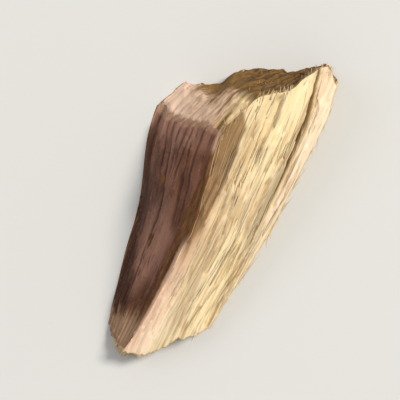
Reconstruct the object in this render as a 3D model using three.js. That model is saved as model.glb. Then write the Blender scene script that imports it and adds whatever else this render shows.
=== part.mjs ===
// One chip of cut, dried licorice root, in millimetres.
// It is a wedge split from a root about 11 mm thick. The brown bark is its left flank, and the pale wood
// shows on the split face to the right of the ridge, on the outer wall, on the base and on both cut ends.
// +X runs along the fibres from the thin end to the thick end, +Y points to the bark, and +Z is up.
// The chip rests on its flat split base, and the origin is the middle of its box at that base.
import * as THREE from "three";
import { mergeVertices } from "three/addons/utils/BufferGeometryUtils.js";

// The section along the grain: the bark's foot, the ridge, and the shoulder and heel of the outer wall
const chipLength = 9.6;
const footAtTip = 0.656;
const footSpread = 0.234;
const footHollow = { along: 4, halfLength: 1.25, depth: 0.22 };
const footEnd = { from: 5.8, to: 7.4, inset: 0.2 };
const ridgeAtTip = 0.05;
const ridgeSway = 0.3;
const ridgeSwayLength = 1.2;
const ridgeDrift = 0.5;
const ridgeDriftFrom = 3.5;
const ridgeDriftTo = 7.5;
const ridgeHeightAtTip = 0.75;
const ridgeRise = 0.46;
const ridgeCurve = 0.022;
const shoulderReach = 2.49;
const shoulderTipInset = 0.86;
const shoulderInsetLength = 4;
const shoulderEndInset = 0.2;
const shoulderEndFrom = 8.2;
const shoulderHeightAtTip = 0.45;
const shoulderRise = 0.12;
const heelInset = 0.22;
const cornerWander = 0.06;
const heightWander = 0.045;

// The thick end has two faces. The knife cut takes the wood half: it is upright at the outer wall, leans
// back towards the ridge, and steps back where it leaves the wood. A second, flatter break takes the top
// of the corner at the bark.
const knifeCutAtMiddle = 8.83;
const knifeCutSkew = 0.48;
const knifeCutLean = 0.4;
const knifeCutUprightAt = -1.8;
const knifeCutFullLeanAt = -0.9;
const knifeCutStep = { from: 0.45, to: 0.75, back: 0.45 };
const outerCornerFrom = 1.8;
const outerCornerBack = 1.2;
const cornerBreakAtBark = 11.63;
const cornerBreakSkew = 2.38;
const cornerBreakLean = 1.8;
const endFaceBlend = 0.12;

// The thin end is blunt at the ridge, and two cuts run back from there, one to each side
const thinCutWoodFrom = 0.42;
const thinCutBarkFrom = 0.35;
const thinCutSkew = 1.1;
const thinCutBarkSkew = 1;
const thinCutUndercut = 0.22;
const thinCutCornerFrom = 1.5;
const thinCutCornerRound = 0.35;

// How far single fibre bundles stand out of the cut ends
const thinEndBundles = 0.16;
const thinEndWaves = 0.1;
const thickEndBundles = 0.07;
const thickEndWaves = 0.06;

// The bark: its bulge, long wrinkles and creases, short cracks across them, and one low scar
const barkBulge = 0.08;
const barkWrinkle = 0.051;
const barkCrease = 0.1;
const barkCrack = 0.09;
const scar = { share: 0.55, along: 4.9, halfWidth: 0.1, halfLength: 0.38, height: 0.13 };

// The wood face and the outer wall, which split along their fibre bundles
const woodHollow = 0.05;
const woodBundles = 0.05;
const wallSteps = 0.09;
const wallBundles = 0.05;

// The split beside the outer edge of the wood face, open at the thick end, where it bends inwards
const slitAtThickEnd = 0.73;
const slitAtClosedEnd = 0.845;
const slitBend = 3;
const slitClosedAt = 3.9;
const slitFullAt = 8.4;
const slitDepth = 0.5;
const slitHalfWidth = 0.05;

// The bark has come away beside the ridge towards the thick end, where a strip of inner bark slopes less
// than the wood face does
const stripLine = 6;
const stripDrop = 0.35;
const stripFrom = 4.9;
const stripFullAt = 6.7;

// Slivers that stand on the wood face or are torn out of it: from and to are lines of the mesh counted
// from the ridge, begins and ends are along the grain, and height is proud of the face. A sliver rises
// slowly where it begins and breaks off short where it ends.
const slivers = [
  { from: 2, to: 4, begins: 0.9, ends: 4.7, height: 0.07 },
  { from: 7, to: 11, begins: 0.2, ends: 5.6, height: 0.1 },
  { from: 9, to: 10, begins: 5.4, ends: 8.4, height: -0.12 },
  { from: 12, to: 13, begins: 3.4, ends: 7.6, height: 0.09 },
  { from: 15, to: 15, begins: 1.8, ends: 6.2, height: -0.13 },
  { from: 21, to: 22, begins: 4.6, ends: 8.8, height: 0.07 },
];
const sliverRise = 1.8;
const sliverBreak = 0.22;

// Grooves in the split base: the line of the mesh that each one follows, counted from the bark, where it
// begins and ends along the grain, and its depth. The base is flat between them, and the chip lies on that.
const baseGrooves = [
  { line: 3, begins: 1.2, ends: 6.2, depth: 0.12 },
  { line: 7, begins: 3.4, ends: 9.4, depth: 0.16 },
  { line: 15, begins: 0.6, ends: 4.9, depth: 0.11 },
  { line: 18, begins: 3.8, ends: 9.9, depth: 0.2 },
  { line: 19, begins: 4.6, ends: 9.9, depth: 0.12 },
  { line: 22, begins: 1.5, ends: 7.7, depth: 0.1 },
];
const grooveFade = 0.9;

// Mesh divisions: along the grain, across the wood face, and up the bark
const grainSteps = 36;
const faceSteps = 24;
const barkSteps = 24;
const slitLine = 18;
const meetingRounds = 24;

const { clamp, lerp, smoothstep } = THREE.MathUtils;

// A repeatable number from 0 to 1 for a whole-numbered place
function chance(i, j, seed) {
  const n = Math.sin(i * 127.1 + j * 311.7 + seed * 74.7) * 43758.5453;
  return n - Math.floor(n);
}

// Smooth noise from -1 to 1 over two directions
function noise(x, y, seed) {
  const i = Math.floor(x);
  const j = Math.floor(y);
  const u = smoothstep(x - i, 0, 1);
  const v = smoothstep(y - j, 0, 1);
  const near = lerp(chance(i, j, seed), chance(i + 1, j, seed), u);
  const far = lerp(chance(i, j + 1, seed), chance(i + 1, j + 1, seed), u);
  return 2 * lerp(near, far, v) - 1;
}

// Fades a side's relief out at its two long edges, which wander by themselves
function edgeFade(share, band) {
  return smoothstep(Math.min(share, 1 - share), 0, band);
}

// How far a corner line of the chip strays from its smooth course
function wander(along, seed, size) {
  return size * (noise(along / 1.9, 0.5, seed) + 0.45 * noise(along / 0.55, 0.5, seed + 1));
}

// The four corners of the chip's section, each as its place across (+Y) and up (+Z)
function corners(along) {
  const hollow = Math.exp(-(((along - footHollow.along) / footHollow.halfLength) ** 2));
  const footInset = footHollow.depth * hollow + footEnd.inset * smoothstep(along, footEnd.from, footEnd.to);
  const foot = footAtTip + footSpread * along - footInset;
  const worn = stripDrop * smoothstep(along, stripFrom, stripFullAt);
  const ridgeTop = ridgeHeightAtTip + ridgeRise * along - ridgeCurve * along * along - worn;
  const sway = ridgeSway * (1 - Math.exp(-along / ridgeSwayLength));
  const drift = ridgeDrift * smoothstep(along, ridgeDriftFrom, ridgeDriftTo);
  const ridge = ridgeAtTip - sway + drift;
  const tipInset = shoulderTipInset * Math.exp(-along / shoulderInsetLength);
  const endInset = shoulderEndInset * smoothstep(along, shoulderEndFrom, chipLength);
  const reach = shoulderReach - tipInset - endInset;
  const shoulderTop = shoulderHeightAtTip + shoulderRise * along;
  return {
    foot: [foot + wander(along, 3, cornerWander), 0],
    ridge: [ridge + wander(along, 5, heightWander), ridgeTop + wander(along, 7, heightWander)],
    shoulder: [-reach - wander(along, 9, cornerWander), shoulderTop + wander(along, 11, heightWander)],
    heel: [-reach + heelInset + wander(along, 13, cornerWander), 0],
  };
}

// A point between two corners, pushed out square to the line between them
function sidePoint(a, b, share, proud) {
  const run = Math.hypot(b[0] - a[0], b[1] - a[1]);
  const out = [-(b[1] - a[1]) / run, (b[0] - a[0]) / run];
  return [lerp(a[0], b[0], share) + out[0] * proud, lerp(a[1], b[1], share) + out[1] * proud];
}

function barkRelief(share, along) {
  const wrinkle = barkWrinkle * noise(share * 9 + 0.06 * along, along / 3.4, 21);
  const crease = barkCrease * Math.abs(noise(share * 5 - 0.05 * along, along / 2.3, 23));
  const crack = barkCrack * Math.max(0, noise(share * 3, along / 0.42, 25) - 0.35);
  const scarX = (along - scar.along) / scar.halfLength;
  const scarY = (share - scar.share) / scar.halfWidth;
  const scarRise = scar.height * Math.exp(-scarX * scarX - scarY * scarY);
  const relief = wrinkle - crease - crack + scarRise;
  return barkBulge * 4 * share * (1 - share) + relief * edgeFade(share, 0.1);
}

// The strip beside the ridge rises from the worn ridge to the height that the wood face keeps
function stripRelief(share, along) {
  const edge = faceShare(stripLine, along);
  const drop = stripDrop * smoothstep(along, stripFrom, stripFullAt);
  return drop * Math.min(((1 - edge) * share) / edge, 1 - share);
}

function woodRelief(line, share, along) {
  const coarse = 0.6 * noise(share * 11, along / 4.2, 31);
  const fine = 0.4 * noise(share * 23, along / 2.4, 33);
  let relief = woodBundles * (coarse + fine);
  for (const s of slivers) {
    const rise = clamp((along - s.begins) / sliverRise, 0, 1);
    const fall = clamp((s.ends - along) / sliverBreak, 0, 1);
    if (line >= s.from && line <= s.to) relief += s.height * rise * fall;
  }
  const form = stripRelief(share, along) - woodHollow * 4 * share * (1 - share);
  return relief * edgeFade(share, 0.05) + form;
}

function wallRelief(share, along) {
  const coarse = wallSteps * noise(share * 3.5, along / 2.6, 41);
  const fine = wallBundles * noise(share * 10, along / 3.3, 43);
  return (coarse + fine) * edgeFade(share, 0.15);
}

function baseRelief(line, along) {
  let relief = 0;
  for (const g of baseGrooves) {
    const inside = Math.min(along - g.begins, g.ends - along) / grooveFade;
    if (line === g.line) relief -= g.depth * clamp(inside, 0, 1);
  }
  return relief;
}

// The slit's place as a share of the wood face's width
function slitShare(along) {
  const open = clamp((along - slitClosedAt) / (chipLength - slitClosedAt), 0, 1);
  return lerp(slitAtClosedEnd, slitAtThickEnd, open ** slitBend);
}

// The share of the wood face's width where each line of the mesh runs. Three lines follow the slit: its two
// lips and its bottom. The others are spread evenly to either side of it.
function faceShare(line, along) {
  const lip = slitHalfWidth / shoulderReach;
  const bottom = slitShare(along);
  if (line === slitLine) return bottom;
  if (line < slitLine) return (line / (slitLine - 1)) * (bottom - lip);
  const outer = (line - slitLine - 1) / (faceSteps - slitLine - 1);
  return lerp(bottom + lip, 1, outer);
}

// A point of the section at a place along the grain: u runs from the bark to the outer wall, and v upwards.
// Its four sides are spanned by a Coons patch, which gives the inner points that the cut ends need.
function sectionPoint(along, u, v) {
  const c = corners(along);
  const line = Math.round(u * faceSteps);
  const share = faceShare(line, along);
  const slit = line === slitLine ? slitDepth * smoothstep(along, slitClosedAt, slitFullAt) : 0;
  const bark = sidePoint(c.foot, c.ridge, v, -barkRelief(v, along));
  const wall = sidePoint(c.heel, c.shoulder, v, wallRelief(v, along));
  const face = sidePoint(c.ridge, c.shoulder, share, slit - woodRelief(line, share, along));
  const base = sidePoint(c.foot, c.heel, u, baseRelief(line, along));
  return [0, 1].map((k) => {
    const across = lerp(bark[k], wall[k], u);
    const upward = lerp(base[k], face[k], v);
    const flat = lerp(lerp(c.foot[k], c.heel[k], u), lerp(c.ridge[k], c.shoulder[k], u), v);
    return across + upward - flat;
  });
}

// Where the thin end's cuts lie along the grain, at a point of the section
function thinCut(y, z) {
  const woodCut = thinCutSkew * Math.max(0, -y - thinCutWoodFrom);
  const barkCut = thinCutBarkSkew * Math.max(0, y - thinCutBarkFrom);
  const corner = thinCutCornerRound * Math.max(0, -y - thinCutCornerFrom) ** 2;
  const torn = thinEndBundles * noise(y / 0.2, z / 0.2, 61) + thinEndWaves * noise(y / 0.5, z / 0.4, 63);
  return woodCut + barkCut + corner + thinCutUndercut * (ridgeHeightAtTip - z) + torn;
}

// Where the thick end's two faces lie along the grain: the one further back, blended where they meet
function thickCut(y, z) {
  const lean = knifeCutLean * smoothstep(y, knifeCutUprightAt, knifeCutFullLeanAt);
  const outerCorner = outerCornerBack * Math.max(0, -y - outerCornerFrom);
  const step = knifeCutStep.back * smoothstep(y, knifeCutStep.from, knifeCutStep.to);
  const knife = knifeCutAtMiddle - knifeCutSkew * y - lean * z - outerCorner - step;
  const corner = cornerBreakAtBark - cornerBreakSkew * y - cornerBreakLean * z;
  const meeting = clamp(0.5 + (corner - knife) / (2 * endFaceBlend), 0, 1);
  const further = lerp(corner, knife, meeting) - endFaceBlend * meeting * (1 - meeting);
  const torn = thickEndBundles * noise(y / 0.24, z / 0.24, 71) + thickEndWaves * noise(y / 0.7, z / 0.5, 73);
  return further + torn;
}

// Where a line of the mesh meets a cut. The section changes along the grain, so it is found in rounds.
function meet(cut, start, u, v) {
  let along = start;
  for (let round = 0; round < meetingRounds; round++) along = cut(...sectionPoint(along, u, v));
  return along;
}

// Carries a point of a unit block to its place in the chip
function chipPoint(s, u, v) {
  const thin = meet(thinCut, 0.5, u, v);
  const thick = meet(thickCut, 8, u, v);
  const along = lerp(thin, thick, s);
  return [along, ...sectionPoint(along, u, v)];
}

// The chip is a finely divided block whose points are all carried to their places
function chipGeometry() {
  const block = new THREE.BoxGeometry(1, 1, 1, grainSteps, faceSteps, barkSteps);
  block.deleteAttribute("normal");
  block.deleteAttribute("uv");
  block.clearGroups();
  const point = block.getAttribute("position");
  for (let i = 0; i < point.count; i++) {
    point.setXYZ(i, ...chipPoint(0.5 + point.getX(i), 0.5 - point.getY(i), 0.5 + point.getZ(i)));
  }
  const geometry = mergeVertices(block, 1e-3);
  geometry.computeBoundingBox();
  const box = geometry.boundingBox;
  geometry.translate(-(box.min.x + box.max.x) / 2, -(box.min.y + box.max.y) / 2, -box.min.z);
  geometry.computeVertexNormals();
  return geometry;
}

const chip = new THREE.Mesh(
  chipGeometry(),
  new THREE.MeshStandardMaterial({ color: 0xe4c89a, roughness: 0.75, metalness: 0 }),
);
chip.name = "licorice_root_chip";

const licoriceRoot = new THREE.Group();
licoriceRoot.add(chip);

export default licoriceRoot;
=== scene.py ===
import math

import bmesh
import bpy
import numpy as np
from mathutils import Matrix, Vector


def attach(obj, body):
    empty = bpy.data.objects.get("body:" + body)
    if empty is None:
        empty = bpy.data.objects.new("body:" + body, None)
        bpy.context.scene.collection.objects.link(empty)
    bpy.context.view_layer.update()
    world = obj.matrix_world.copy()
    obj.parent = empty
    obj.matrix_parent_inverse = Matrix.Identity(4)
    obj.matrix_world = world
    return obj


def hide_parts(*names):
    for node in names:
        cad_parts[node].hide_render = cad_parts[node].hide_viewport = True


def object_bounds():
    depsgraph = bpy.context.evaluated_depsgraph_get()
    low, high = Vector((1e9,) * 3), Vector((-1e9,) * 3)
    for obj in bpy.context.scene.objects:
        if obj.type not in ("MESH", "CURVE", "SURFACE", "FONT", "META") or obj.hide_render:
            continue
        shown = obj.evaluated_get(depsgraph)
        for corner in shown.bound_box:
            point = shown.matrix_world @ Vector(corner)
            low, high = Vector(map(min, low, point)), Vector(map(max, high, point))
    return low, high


# One chip of cut, dried licorice root. Lengths are in millimetres until a mesh is finished.
# x runs along the grain from the thin end, y across it towards the bark, and z up from the split base.
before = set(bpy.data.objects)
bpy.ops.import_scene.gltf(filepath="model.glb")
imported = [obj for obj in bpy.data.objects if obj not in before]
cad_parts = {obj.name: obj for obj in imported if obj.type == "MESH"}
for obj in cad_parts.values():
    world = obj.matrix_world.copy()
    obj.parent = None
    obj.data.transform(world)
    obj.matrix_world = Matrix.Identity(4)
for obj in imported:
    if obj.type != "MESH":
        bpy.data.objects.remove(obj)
solid_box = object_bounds()

CHIP = "licorice_root_chip"
MILLIMETRE = 0.001

# The section along the grain: the bark's foot, the ridge, and the shoulder and heel of the outer wall
CHIP_LENGTH = 9.6
FOOT_AT_TIP, FOOT_SPREAD = 0.656, 0.234
FOOT_HOLLOW_AT, FOOT_HOLLOW_LENGTH, FOOT_HOLLOW = 4.0, 1.25, 0.22
FOOT_END_FROM, FOOT_END_TO, FOOT_END_INSET = 5.8, 7.4, 0.2
RIDGE_AT_TIP, RIDGE_SWAY, RIDGE_SWAY_LENGTH = 0.05, 0.3, 1.2
RIDGE_DRIFT, RIDGE_DRIFT_FROM, RIDGE_DRIFT_TO = 0.5, 3.5, 7.5
RIDGE_HEIGHT_AT_TIP, RIDGE_RISE, RIDGE_CURVE = 0.75, 0.46, 0.022
SHOULDER_REACH, SHOULDER_TIP_INSET, SHOULDER_INSET_LENGTH = 2.49, 0.86, 4.0
SHOULDER_END_INSET, SHOULDER_END_FROM = 0.2, 8.2
SHOULDER_HEIGHT_AT_TIP, SHOULDER_RISE = 0.45, 0.12
HEEL_INSET = 0.22
CORNER_WANDER, HEIGHT_WANDER = 0.06, 0.045
LONG_WAVE, SHORT_WAVE, SHORT_WAVE_SHARE = 1.9, 0.55, 0.45

# The two faces of the thick end: a knife cut through the wood, and a break at the bark's corner
KNIFE_AT_MIDDLE, KNIFE_SKEW, KNIFE_LEAN = 8.83, 0.48, 0.4
KNIFE_UPRIGHT_AT, KNIFE_FULL_LEAN_AT = -1.8, -0.9
KNIFE_STEP_FROM, KNIFE_STEP_TO, KNIFE_STEP_BACK = 0.45, 0.75, 0.45
OUTER_CORNER_FROM, OUTER_CORNER_BACK = 1.8, 1.2
BREAK_AT_BARK, BREAK_SKEW, BREAK_LEAN = 11.63, 2.38, 1.8
END_FACE_BLEND = 0.12

# The thin end is blunt at the ridge, with a cut that runs back from there to either side
THIN_WOOD_FROM, THIN_BARK_FROM = 0.42, 0.35
THIN_SKEW, THIN_BARK_SKEW, THIN_UNDERCUT = 1.1, 1.0, 0.22
THIN_CORNER_FROM, THIN_CORNER_ROUND = 1.5, 0.35

# How far single fibre bundles stand out of the cut ends
THIN_END_BUNDLES, THIN_END_WAVES = 0.16, 0.1
THICK_END_BUNDLES, THICK_END_WAVES = 0.07, 0.06

# The bark: its bulge, long wrinkles and creases, short cracks across them, and one low scar
BARK_BULGE, BARK_WRINKLE, BARK_CREASE, BARK_CRACK = 0.08, 0.051, 0.1, 0.09
SCAR_UP, SCAR_ALONG, SCAR_HALF_WIDTH, SCAR_HALF_LENGTH, SCAR_HEIGHT = 0.55, 4.9, 0.1, 0.38, 0.13

# The wood face and the outer wall, which split along their fibre bundles
WOOD_HOLLOW, WOOD_BUNDLES, WALL_STEPS, WALL_BUNDLES = 0.05, 0.05, 0.09, 0.05

# The slit in the wood face, open at the thick end
SLIT_AT_THICK_END, SLIT_AT_CLOSED_END, SLIT_BEND = 0.73, 0.845, 3
SLIT_CLOSED_AT, SLIT_FULL_AT, SLIT_DEPTH, SLIT_HALF_WIDTH = 3.9, 8.4, 0.5, 0.05

# The strip of inner bark beside the ridge, towards the thick end
STRIP_LINE, STRIP_DROP, STRIP_FROM, STRIP_FULL_AT = 6, 0.35, 4.9, 6.7

# Slivers of the wood face: first and last line of the solid, where they begin and end, and their height
SLIVERS = (
    (2, 4, 0.9, 4.7, 0.07),
    (7, 11, 0.2, 5.6, 0.10),
    (9, 10, 5.4, 8.4, -0.12),
    (12, 13, 3.4, 7.6, 0.09),
    (15, 15, 1.8, 6.2, -0.13),
    (21, 22, 4.6, 8.8, 0.07),
)
SLIVER_RISE, SLIVER_BREAK = 1.8, 0.22

# A sliver reaches this share of a line beyond its outer ones, and steps down over this share of one
SLIVER_BEYOND, SLIVER_STEP = 0.35, 0.3

# Grooves of the split base: line of the solid, where they begin and end, and their depth
BASE_GROOVES = (
    (3, 1.2, 6.2, 0.12),
    (7, 3.4, 9.4, 0.16),
    (15, 0.6, 4.9, 0.11),
    (18, 3.8, 9.9, 0.20),
    (19, 4.6, 9.9, 0.12),
    (22, 1.5, 7.7, 0.10),
)
GROOVE_FADE = 0.9

# Lines of the solid, and the finer divisions here: along the grain, across the wood face and up the bark
SOLID_GRAIN_LINES, SOLID_FACE_LINES, SOLID_BARK_LINES = 36, 24, 24
SLIT_LINE = 18
GRAIN_STEPS, FACE_STEPS, BARK_STEPS = 180, 144, 72
MEETING_ROUNDS = 24

# The bark's width and the wall's height, as the fine patterns are laid out, and a place in the patterns where
# the wall doesn't repeat the face
BARK_WIDTH = 3.7
WALL_HEIGHT = 2.5
WALL_PATTERN_AT = 3.0

# Strands of split wood: width, length, height of the steps between them, and how far each one is rounded.
# The base rests on its flats, so only the hollows between its strands show.
BROAD_STRANDS = (0.15, 2.2, 0.036, 0.016)
NARROW_STRANDS = (0.07, 1.6, 0.018, 0.012)
BASE_SCRAPED = 0.04

# Layers torn off the wood face: place across from and to, where they begin and end, and their thickness
TORN_LAYERS = (
    (-1.02, -0.62, 4.9, 9.9, 0.05),
    (-0.62, -0.22, 0.6, 3.1, 0.035),
    (-1.98, -1.70, 1.4, 4.3, 0.055),
    (-1.98, -1.74, 6.4, 9.9, 0.06),
    (-2.25, -1.95, 5.1, 7.2, 0.04),
)

# A torn layer's strands: their width, how far they fray, and how wide the steps are at its side, where it
# begins and where it ends
TORN_STRAND, TORN_SWAY, LONG_FRAY, SHORT_FRAY = 0.06, 0.05, 0.9, 0.35
TORN_SIDE_STEP, TORN_FIRST_STEP, TORN_LAST_STEP = 0.03, 0.05, 0.3

# Open tubes of the wood: how far apart they are, their least and largest radius and their stray as shares of
# that, the share of places without one, and how deep under the bark they begin
TUBE_SPACING, TUBE_RADII, TUBE_STRAY, TUBES_MISSING = 0.25, (0.12, 0.27), 0.6, 0.3
TUBES_FROM, TUBES_FULL_AT = 0.85, 1.05

# How deep a tube lies open along a split face and into a cut end, and the bundles that stand between them
TUBE_GROOVE, TUBE_PIT = 0.035, 0.06
NARROW_END_BUNDLES, BROAD_END_BUNDLES = 0.02, 0.035

# Furrows of the bark: how far apart they are, their half width as a share of that, and their depth
BROAD_FURROWS = (0.33, 0.17, 0.05)
NARROW_FURROWS = (0.14, 0.28, 0.022)

# The bark's cross cracks, swells and scurf, and the thickness of its cork
CROSS_CRACK, BARK_SWELL, BARK_SCURF, CORK_THICKNESS = 0.025, 0.012, 0.008, 0.03

# Pores of the bark: how far apart they are up it and along, size, share without one, length and height
PORES_UP, PORES_ALONG, PORE_SIZES, PORES_MISSING = 0.62, 0.9, (0.07, 0.13), 0.45
PORE_LENGTH, PORE_HEIGHT = 0.45, 0.035

# How far in from each edge of the bark its cork is rubbed off, and how much further beside the ridge
BARE_AT_RIDGE, BARE_AT_FOOT, BARE_AT_BREAK, BARE_AT_TIP, BARE_TIP_SLANT = 0.10, 0.05, 0.12, 0.7, 0.4
RUBBED_RIDGE, RUBBED_FROM, RUBBED_TO, RUBBED_FADE = 0.30, 1.2, 4.6, 1.4

# Long streaks of colour on the wood face: middle across, half width, where they begin and end, and their
# tone, which is negative for tan and positive for yellow
STREAKS = (
    (-0.46, 0.26, 2.9, 3.6, -1.4),
    (-0.66, 0.26, 3.4, 5.0, -2.0),
    (-0.72, 0.40, 7.7, 8.6, 1.2),
    (-1.20, 0.15, 6.3, 6.7, 1.2),
    (-0.74, 0.30, 7.0, 7.1, -0.8),
    (-1.00, 0.19, 1.6, 3.6, -1.3),
    (-1.55, 0.18, 1.9, 3.8, 0.9),
    (-0.80, 0.20, 4.3, 6.2, -1.1),
    (-1.18, 0.14, 4.0, 5.6, -0.9),
    (-1.45, 0.16, 4.2, 5.4, -0.5),
    (-0.98, 0.24, 6.0, 8.4, 0.9),
    (-1.46, 0.24, 6.4, 9.0, 1.3),
    (-1.48, 0.30, 2.2, 4.0, 1.8),
)
STREAK_SWAY, STREAK_FADE = 0.05, 0.8

# Patches of bark weathered paler: middle and half length along, and middle and half width up the bark
PALE_PATCHES = (
    (3.0, 1.7, 0.48, 0.34),
    (6.3, 0.6, 0.5, 0.6),
)

# Where the strip's colour ends across the wood face, and from where to where it draws in, and how far
STRIP_EDGE, STRIP_BLEND, STRIP_COLOUR_FROM, STRIP_COLOUR_FULL = -0.58, 0.04, 3.4, 4.4
STRIP_NARROWS = ((6.0, 7.0, 0.12), (7.0, 7.8, 0.34))

# The middle of the root that the chip was split from, which its rays run out from
ROOT_MIDDLE_ACROSS, ROOT_MIDDLE_UP, RAY_SCALE = -3.2, -4.3, 6

# How deep the cork counts as lying, the relief that counts as fully high, and how far the wood beyond the
# slit is pink and tan
CORK_DEPTH, FULLY_HIGH, BAND_BLUSH, BAND_TAN = 0.02, 0.05, 0.6, 0.7
# The painted shade beside the slit: its place from the slit and its half width, as shares of the wood face's
# width, and its strength against the slit's own
SLIT_SIDE_AT, SLIT_SIDE_WIDTH, SLIT_SIDE_PAINTED_SHADE = -0.025, 0.08, 0.68

# Fibres along the sides: how many, where they begin, their length, their places from the bark's side to the
# wall and up, how far the free end lifts, radius and flatness
SIDE_FIBRES = (
    (150, (1.8, 8.2), (0.5, 1.9), (0.02, 0.98), (1, 1), (0.0, 0.06), (0.008, 0.017), 1.0),
    (60, (1.8, 8.0), (0.3, 1.1), (0.05, 0.95), (1, 1), (0.06, 0.16), (0.007, 0.013), 1.0),
    (90, (2.4, 8.4), (0.5, 1.8), (1, 1), (0.08, 0.98), (0.0, 0.12), (0.007, 0.014), 1.0),
    (30, (1.6, 8.6), (0.3, 1.2), (1, 1), (0.80, 0.97), (0.08, 0.18), (0.009, 0.016), 1.0),
    (10, (2.2, 7.6), (0.8, 2.0), (0.3, 0.95), (1, 1), (0.03, 0.10), (0.025, 0.045), 0.4),
)
SIDE_DRIFT, SIDE_TONES, SIDE_END_ROOM = 0.02, (0.3, 0.9), 0.3

# Fibres out of the thick and the thin end: how many, their places up, how far they reach and their tone
THICK_END_FIBRES = (
    (60, (0.1, 0.9), (-0.01, 0.05), (0, 0.3)),
    (70, (0.96, 1), (0.02, 0.13), (0.1, 0.6)),
)
THIN_END_FIBRES = (
    (90, (0.1, 1.0), (0.04, 0.18), (0.3, 1.0)),
)
END_PLACES, END_DRIFT, END_RADII, END_HOLD = (0.04, 0.98), 0.03, (0.009, 0.021), 0.2

# A fibre's divisions, how it thins at either end, bends, lifts and stands proud of the wood, how much of the
# fine relief it follows, and how far above the floor it stays
FIBRE_SEED, FIBRE_SIDES, FIBRE_CUTS = 7, 5, 7
TIP_THINNING, HELD_WIDTH, WIDENING = 0.8, 0.35, 8
FIBRE_BEND, BEND_FROM, LIFT_CURVE, FIBRE_PROUD = 0.03, 0.3, 2.2, 0.35
FIBRE_RELIEF, FLOOR_GAP = 0.6, 0.004


# Noise and easing, the same as the solid's. Each noise has a seed of its own.

def chance(i, j, seed):
    """A repeatable number from 0 to 1 for a whole-numbered place."""
    n = np.sin(i * 127.1 + j * 311.7 + seed * 74.7) * 43758.5453
    return n - np.floor(n)


def rise(x, low, high):
    t = np.clip((x - low) / (high - low), 0, 1)
    return t * t * (3 - 2 * t)


def mix(a, b, t):
    return a + (b - a) * t


def noise(x, y, seed):
    """Smooth noise from -1 to 1 over two directions."""
    i, j = np.floor(x), np.floor(y)
    u, v = rise(x - i, 0, 1), rise(y - j, 0, 1)
    near = mix(chance(i, j, seed), chance(i + 1, j, seed), u)
    far = mix(chance(i, j + 1, seed), chance(i + 1, j + 1, seed), u)
    return 2 * mix(near, far, v) - 1


def line_noise(x, seed):
    """Smooth noise from -1 to 1 over one direction."""
    return noise(x, 0.5, seed)


def edge_fade(share, band):
    return rise(np.minimum(share, 1 - share), 0, band)


def between(x, low, high, band):
    """1 from low to high, and 0 outside them by more than a band."""
    return rise(x, low - band, low) * (1 - rise(x, high, high + band))


def hump(x, half_width):
    """1 where x is 0, falling off smoothly to either side."""
    return np.exp(-((x / half_width) ** 2))


def arch(share):
    """0 at either edge of a side, and 1 at its middle."""
    return 4 * share * (1 - share)


def wander(along, seed, size):
    long_wave = line_noise(along / LONG_WAVE, seed)
    return size * (long_wave + SHORT_WAVE_SHARE * line_noise(along / SHORT_WAVE, seed + 1))


# The chip's form, as the solid has it

def strip_drop(along):
    return STRIP_DROP * rise(along, STRIP_FROM, STRIP_FULL_AT)


def corners(along):
    """Foot, ridge, shoulder and heel of the section, each as its place across and up."""
    foot_inset = FOOT_HOLLOW * hump(along - FOOT_HOLLOW_AT, FOOT_HOLLOW_LENGTH)
    foot_inset = foot_inset + FOOT_END_INSET * rise(along, FOOT_END_FROM, FOOT_END_TO)
    foot = FOOT_AT_TIP + FOOT_SPREAD * along - foot_inset
    ridge_top = RIDGE_HEIGHT_AT_TIP + RIDGE_RISE * along - RIDGE_CURVE * along**2 - strip_drop(along)
    sway = RIDGE_SWAY * (1 - np.exp(-along / RIDGE_SWAY_LENGTH))
    ridge = RIDGE_AT_TIP - sway + RIDGE_DRIFT * rise(along, RIDGE_DRIFT_FROM, RIDGE_DRIFT_TO)
    inset = SHOULDER_TIP_INSET * np.exp(-along / SHOULDER_INSET_LENGTH)
    reach = SHOULDER_REACH - inset - SHOULDER_END_INSET * rise(along, SHOULDER_END_FROM, CHIP_LENGTH)
    shoulder_top = SHOULDER_HEIGHT_AT_TIP + SHOULDER_RISE * along
    level = np.zeros_like(along)
    return (
        (foot + wander(along, 3, CORNER_WANDER), level),
        (ridge + wander(along, 5, HEIGHT_WANDER), ridge_top + wander(along, 7, HEIGHT_WANDER)),
        (-reach - wander(along, 9, CORNER_WANDER), shoulder_top + wander(along, 11, HEIGHT_WANDER)),
        (-reach + HEEL_INSET + wander(along, 13, CORNER_WANDER), level),
    )


def side_point(a, b, share, proud):
    """A point between two corners, pushed out square to the line between them."""
    run = np.hypot(b[0] - a[0], b[1] - a[1])
    out_y, out_z = -(b[1] - a[1]) / run, (b[0] - a[0]) / run
    return mix(a[0], b[0], share) + out_y * proud, mix(a[1], b[1], share) + out_z * proud


def bark_form(share, along):
    wrinkle = BARK_WRINKLE * noise(share * 9 + 0.06 * along, along / 3.4, 21)
    crease = BARK_CREASE * np.abs(noise(share * 5 - 0.05 * along, along / 2.3, 23))
    crack = BARK_CRACK * np.maximum(0, noise(share * 3, along / 0.42, 25) - 0.35)
    scar = SCAR_HEIGHT * hump(along - SCAR_ALONG, SCAR_HALF_LENGTH) * hump(share - SCAR_UP, SCAR_HALF_WIDTH)
    relief = wrinkle - crease - crack + scar
    return BARK_BULGE * arch(share) + relief * edge_fade(share, 0.1)


def slit_share(along):
    """The slit's place as a share of the wood face's width."""
    open_share = np.clip((along - SLIT_CLOSED_AT) / (CHIP_LENGTH - SLIT_CLOSED_AT), 0, 1)
    return mix(SLIT_AT_CLOSED_END, SLIT_AT_THICK_END, open_share**SLIT_BEND)


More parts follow.
